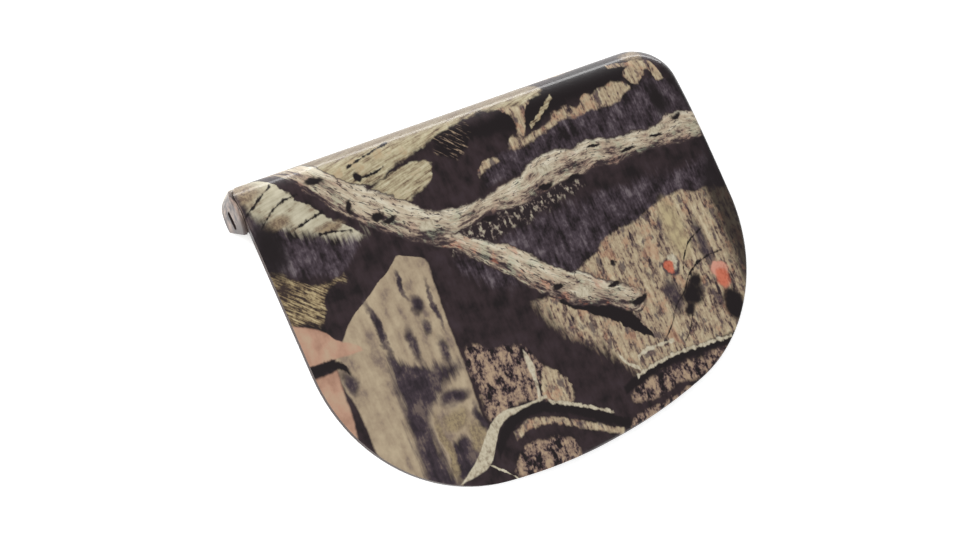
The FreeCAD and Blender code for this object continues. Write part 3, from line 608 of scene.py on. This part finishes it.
def branch_bark(paint, name, share, edge, grains):
    """Weathered grey wood with long cracks; share is 0 at the low line and 1 at the high one."""
    x = paint.x
    blotch = grains["blotch"]
    seed = float(len(name))
    streak = paint.noise(x / 8.0, share * 4.5, seed, detail=3, roughness=0.5)
    thread = paint.noise(x / 2.6, share * 14.0, 30.0 + seed, detail=3)
    light = streak * 1.3 + thread * 0.7 + grains["grain"] * 0.25 + (share - 0.42) * 0.45 + 0.5
    bark = paint.ramp(light, *ARM_STOPS)
    warm = LOW_ARM_WARM if name == "low_arm" else ARM_WARM
    bark = paint.mix(bark, warm, paint.ease(blotch + thread * 0.6, 0.06, 0.2) * 0.45)
    bark = paint.mix(bark, ARM_LICHEN, paint.ease(thread * 0.5 - blotch, 0.04, 0.18) * 0.4)
    crack = paint.noise(x / 8.0, share * 6.0 + blotch * 0.5, 40.0 + seed, detail=2)
    crack = (1.0 - paint.ease(abs(crack), 0.006, 0.026)) * paint.ease(thread, -0.08, 0.04)
    fleck = paint.noise(x / 1.7, share * 10.0, 60.0 + seed, detail=3) - share * 0.06
    fleck = paint.ease(fleck, 0.045, 0.12) * (0.35 if name == "right_arm" else 1.0)
    bark = paint.mix(bark, ARM_CRACK, crack.most(fleck) * 0.85)
    return paint.mix(ARM_EDGE, bark, edge)


class Print:
    """The printed film, built up one shape at a time."""

    def __init__(self, paint):
        self.paint = paint
        x, y = paint.x, paint.y
        wide = paint.wander(7.0, 2.2, 3.0)
        fine = paint.wander(1.6, 0.75, 7.0)
        gentle = paint.wander(11.0, 0.8, 8.0)
        self.rough = (x + wide[0] + fine[0], y + wide[1] + fine[1])
        self.soft = (x + gentle[0] + fine[0] * 0.4, y + gentle[1] + fine[1] * 0.4)
        self.grains = film_grains(paint)
        self.inks = film_inks(paint, self.grains)
        self.film = self.inks["ground"]

    def lay(self, ink, share):
        """Put one more ink or colour over the film, wherever share is above 0."""
        colour = self.inks[ink] if isinstance(ink, str) else ink
        self.film = self.paint.mix(self.film, colour, share)

    def patch(self, place, ink, direction, softness, low, high):
        """Area between two lines; soft edges run out in streaks."""
        along, across = place if direction == "across" else reversed(place)
        curve = self.paint.curve
        inside = (across - curve(along, low)).least(curve(along, high) - across)
        ends = (along - low[0][0]).least(low[-1][0] - along)
        streaks = self.grains["upright"] * (STREAK_REACH * max(softness - 0.5, 0.0))
        self.lay(ink, self.paint.ease(inside.least(ends) + streaks, -softness, softness))

    def spot(self, ink, middle_x, middle_y, half_x, half_y, softness):
        """Oval with an uneven edge."""
        x, y = self.rough
        away = ((x - middle_x) / half_x).math("POWER", 2.0)
        away = away + ((y - middle_y) / half_y).math("POWER", 2.0)
        self.lay(ink, 1.0 - self.paint.ease(away, 1 - softness, 1 + softness))

    def mark(self, ink, direction, softness, half_width, line):
        """Thin stroke of uneven width along a line."""
        along, across = self.soft if direction == "across" else reversed(self.soft)
        width = self.grains["chunk"] * MARK_UNEVEN + half_width
        inside = width - abs(across - self.paint.curve(along, line))
        ends = (along - line[0][0]).least(line[-1][0] - along)
        self.lay(ink, self.paint.ease(inside.least(ends), -softness, softness))

    def shade_right_edge(self):
        """Painted shade, darkening the sheet towards its right edge."""
        low = self.paint.ease(0 - self.paint.y, *RIGHT_SHADE_LOW) * RIGHT_SHADE_SHIFT
        place = self.paint.x + self.grains["upright"] * RIGHT_SHADE_UNEVEN + low
        self.lay("ink", self.paint.ease(place, *RIGHT_SHADE) * 0.9)

    def branch(self, name, low, high):
        """One arm of the branch, between its low and its high line."""
        paint = self.paint
        x, y = self.rough
        inside = (y - paint.curve(x, low)).least(paint.curve(x, high) - y)
        ends = (x - low[0][0]).least(low[-1][0] - x)
        soft_x, soft_y = self.soft
        low_line = paint.curve(soft_x, low)
        thickness = paint.curve(soft_x, high) - low_line
        share = (soft_y - low_line) / thickness.most(1.0)
        bark = branch_bark(paint, name, share, paint.ease(inside, 0.0, 1.2), self.grains)
        self.lay(bark, paint.ease(inside, -0.4, 0.4) * paint.ease(ends, 0.0, 4.0))

    def lip(self):
        """Streaked print on the mouthpiece's end, lightened as a painted reflection, with painted shade
        darkening its underside.
        """
        paint = self.paint
        there = paint.ease(0 - paint.x, *LIP_X) * paint.ease(paint.y, *LIP_Y)
        streaks = paint.noise(paint.x / 0.7, paint.y / 4.0, paint.z / 3.0, detail=3)
        reflection_streaks = paint.ramp(streaks * 1.6 + 0.5, *LIP_REFLECTION_STOPS)
        # painted shade over the lip's underside
        under = paint.ease(streaks * 4.0 - paint.y, *LIP_SHADE_SPAN) * 0.85
        self.lay(paint.mix(reflection_streaks, LIP_SHADE, under), there * 0.95)


def film_colour(paint):
    """Colours of the printed film: dark ground, bark, leaves and one forked branch."""
    paint.x = paint.x - SHEET_MIDDLE
    paint.y = paint.y + (WRAP_START - paint.z).most(0.0) * paint.ease(paint.y, *WRAP_EDGE)
    sheet = Print(paint)
    for row in BACK_PATCHES:
        sheet.patch(sheet.rough, *row)
    for row in LEAVES:
        sheet.patch(sheet.soft, *row)
    for row in SPOTS:
        sheet.spot(*row)
    for row in MARKS:
        sheet.mark(*row)
    for row in PALE_EDGES:
        sheet.patch(sheet.soft, *row)
    # painted shade towards the sheet's right edge
    sheet.shade_right_edge()
    for row in BRANCHES:
        sheet.branch(*row)
    for row in KNOTS:
        sheet.spot(*row)
    # painted reflection and painted shade on the mouthpiece's end
    sheet.lip()
    return sheet.film


RIM_BROWN = tint(58, 40, 34)
RIM_RIGHT = 60.0            # X where the brown rim ends
RIM_TOP = 40.0              # Y where it ends
INSIDE_BLACK = tint(26, 25, 25)
INSIDE_TOP = 46.0           # Y where the bare inside ends
FILM_ROUGHNESS = 0.45
FILM_SPECULAR = 0.25
FILM_COAT = 0.35


def make_film():
    """Printed film under a thin clear coat, bare plastic inside and brown at the cut rim."""
    paint = Paint("camouflage_film")
    film = film_colour(paint)
    up = paint.facing()[2]
    inside = paint.ease(0 - up, 0.1, 0.3) * paint.ease(INSIDE_TOP - paint.y, 0.0, 1.0)
    rim = (1.0 - paint.ease(abs(up), 0.3, 0.6)) * paint.ease(RIM_RIGHT - paint.x, 0.0, 4.0)
    rim = rim * paint.ease(RIM_TOP - paint.y, 0.0, 2.0)
    film = paint.mix(film, RIM_BROWN, rim)
    film = paint.mix(film, INSIDE_BLACK, inside)
    peel = paint.noise(paint.x / 1.6, paint.y / 1.6, paint.z / 1.6, detail=1)
    paint.set(base_color=film, roughness=rim * 0.4 + FILM_ROUGHNESS + peel * 0.08,
              coat_weight=FILM_COAT, coat_roughness=0.1, specular_ior_level=FILM_SPECULAR)
    paint.bump(peel, 0.03, 0.35)
    return paint.material


dress(make_film(), "shield_shell", "mouthpiece")


# ---------------------------------------------------------------- plain materials

def moulded_plastic(name, colour, roughness, pebble_size, pebble_depth):
    """Injection-moulded plastic with a fine pebbled skin."""
    paint = Paint(name)
    pebble = paint.noise(paint.x / pebble_size, paint.y / pebble_size, paint.z / pebble_size, detail=2)
    wear = paint.noise(paint.x / 14.0, paint.y / 14.0, paint.z / 14.0, detail=4)
    darker = tuple(level * 0.75 for level in colour[:3]) + (1.0,)
    paint.set(base_color=paint.ramp(wear + 0.5, (0.3, darker), (0.7, colour)),
              roughness=roughness + wear * 0.15)
    paint.bump(pebble, pebble_depth)
    return paint.material


def rubber(name, colour):
    """Matt rubber with a fine grain and a little dust."""
    paint = Paint(name)
    dust = paint.noise(paint.x / 6.0, paint.y / 6.0, paint.z / 6.0, detail=5)
    grain = paint.noise(paint.x / 0.35, paint.y / 0.35, paint.z / 0.35, detail=1)
    dusty = tuple(level * 1.6 + 0.004 for level in colour[:3]) + (1.0,)
    paint.set(base_color=paint.ramp(dust + 0.5, (0.35, colour), (0.75, dusty)),
              roughness=0.82 + grain * 0.1)
    paint.bump(grain, 0.04)
    return paint.material


def metal(name, colour, roughness, stretch=(1.0, 1.0, 1.0)):
    """Turned or drawn metal, with fine lines along the smallest stretch."""
    paint = Paint(name)
    lines = paint.noise(paint.x / stretch[0], paint.y / stretch[1], paint.z / stretch[2], detail=3)
    tarnish = paint.noise(paint.x / 3.0, paint.y / 3.0, paint.z / 3.0, detail=4)
    darker = tuple(level * 0.55 for level in colour[:3]) + (1.0,)
    paint.set(base_color=paint.ramp(tarnish + 0.5, (0.25, darker), (0.6, colour)), metallic=1.0,
              roughness=roughness + lines * 0.2)
    paint.bump(lines, 0.01)
    return paint.material


def smoked_tube():
    """Clear smoke-brown plastic, seen as a dark gloss, with fine lines along X."""
    paint = Paint("smoke_tube")
    lines = paint.noise(paint.x / 9.0, paint.y / 0.3, paint.z / 0.3, detail=2)
    paint.set(base_color=paint.ramp(lines + 0.5, (0.3, tint(52, 46, 40)), (0.7, tint(66, 58, 50))),
              roughness=0.16 + lines * 0.06, coat_weight=0.3)
    return paint.material


def reed_film():
    """Milky reed plastic with a slight haze."""
    paint = Paint("reed_film")
    haze = paint.noise(paint.x / 3.0, paint.y / 0.6, paint.z, detail=3)
    paint.set(base_color=paint.ramp(haze + 0.5, (0.3, tint(206, 198, 172)), (0.7, tint(228, 222, 202))),
              roughness=0.3 + haze * 0.2)
    return paint.material


dress(moulded_plastic("black_plastic", tint(34, 33, 33), 0.55, 0.45, 0.05),
      "rear_cover", "outlet_grille", "horn_baffle", "slider_knob", "slider_stem",
      "barrel_end_plug", "barrel_saddles")
dress(rubber("black_rubber", tint(27, 27, 28)),
      "chamber_gasket", "rear_grip_pad", "barrel_seal_rings", "end_plug_ring", "mouthpiece_ring")
dress(rubber("wedge_rubber", tint(128, 92, 62)), "reed_wedge", "slider_foot")
dress(smoked_tube(), "barrel", "reed_bushing", "tone_board")
dress(metal("screw_steel", tint(78, 76, 74), 0.35, (0.3, 0.3, 0.3)), "cover_screws")
dress(metal("insert_brass", tint(190, 150, 84), 0.35, (0.3, 0.3, 2.0)), "screw_inserts")
dress(metal("ring_steel", tint(150, 148, 144), 0.28, (0.5, 0.5, 0.5)), "lanyard_ring")
dress(reed_film(), "reed")


# ---------------------------------------------------------------- floor and light

FLOOR_REACH = 3.0           # from the frame's origin to each side of the floor
FLOOR_GLOW = 0.55
FLOOR_DULL = tint(244, 244, 244)
FLOOR_BRIGHT = tint(249, 249, 249)

ROOM_GLOW = 0.22
LIGHTS = [
    # name, place, (width, height), watts
    ("key", (-0.75, 0.35, 0.85), (0.8, 0.8), 11.0),
    ("fill", (-0.25, -0.9, 0.8), (0.8, 0.8), 6.0),
    ("back_strip", (0.42, 0.85, 0.06), (1.6, 0.22), 10.0),
]


def make_floor():
    """Pale card that glows a little, like a light table."""
    mesh = bpy.data.meshes.new("floor")
    corners = [(-1, -1), (1, -1), (1, 1), (-1, 1)]
    mesh.from_pydata([(x * FLOOR_REACH, y * FLOOR_REACH, 0) for x, y in corners], [], [(0, 1, 2, 3)])
    floor = bpy.data.objects.new("floor", mesh)
    bpy.context.scene.collection.objects.link(floor)
    paint = Paint("floor_card")
    fleck = paint.noise(paint.x / 40.0, paint.y / 40.0, detail=3)
    card = paint.ramp(fleck + 0.5, (0.3, FLOOR_DULL), (0.7, FLOOR_BRIGHT))
    paint.set(base_color=card, roughness=0.9, emission_color=card, emission_strength=FLOOR_GLOW)
    mesh.materials.append(paint.material)


def area_light(name, place, size, power):
    data = bpy.data.lights.new(name, "AREA")
    data.shape = "RECTANGLE"
    data.size, data.size_y = size
    data.energy = power
    light = bpy.data.objects.new(name, data)
    bpy.context.scene.collection.objects.link(light)
    light.location = place
    light.rotation_euler = (-Vector(place)).to_track_quat("-Z", "Y").to_euler()


def make_light():
    """An even white room, and area lights that all face the origin."""
    world = bpy.data.worlds.new("studio")
    world.use_nodes = True
    background = world.node_tree.nodes["Background"]
    background.inputs["Color"].default_value = (1.0, 1.0, 1.0, 1.0)
    background.inputs["Strength"].default_value = ROOM_GLOW
    bpy.context.scene.world = world
    for row in LIGHTS:
        area_light(*row)
    bpy.context.scene.view_settings.view_transform = "Standard"


make_floor()
make_light()
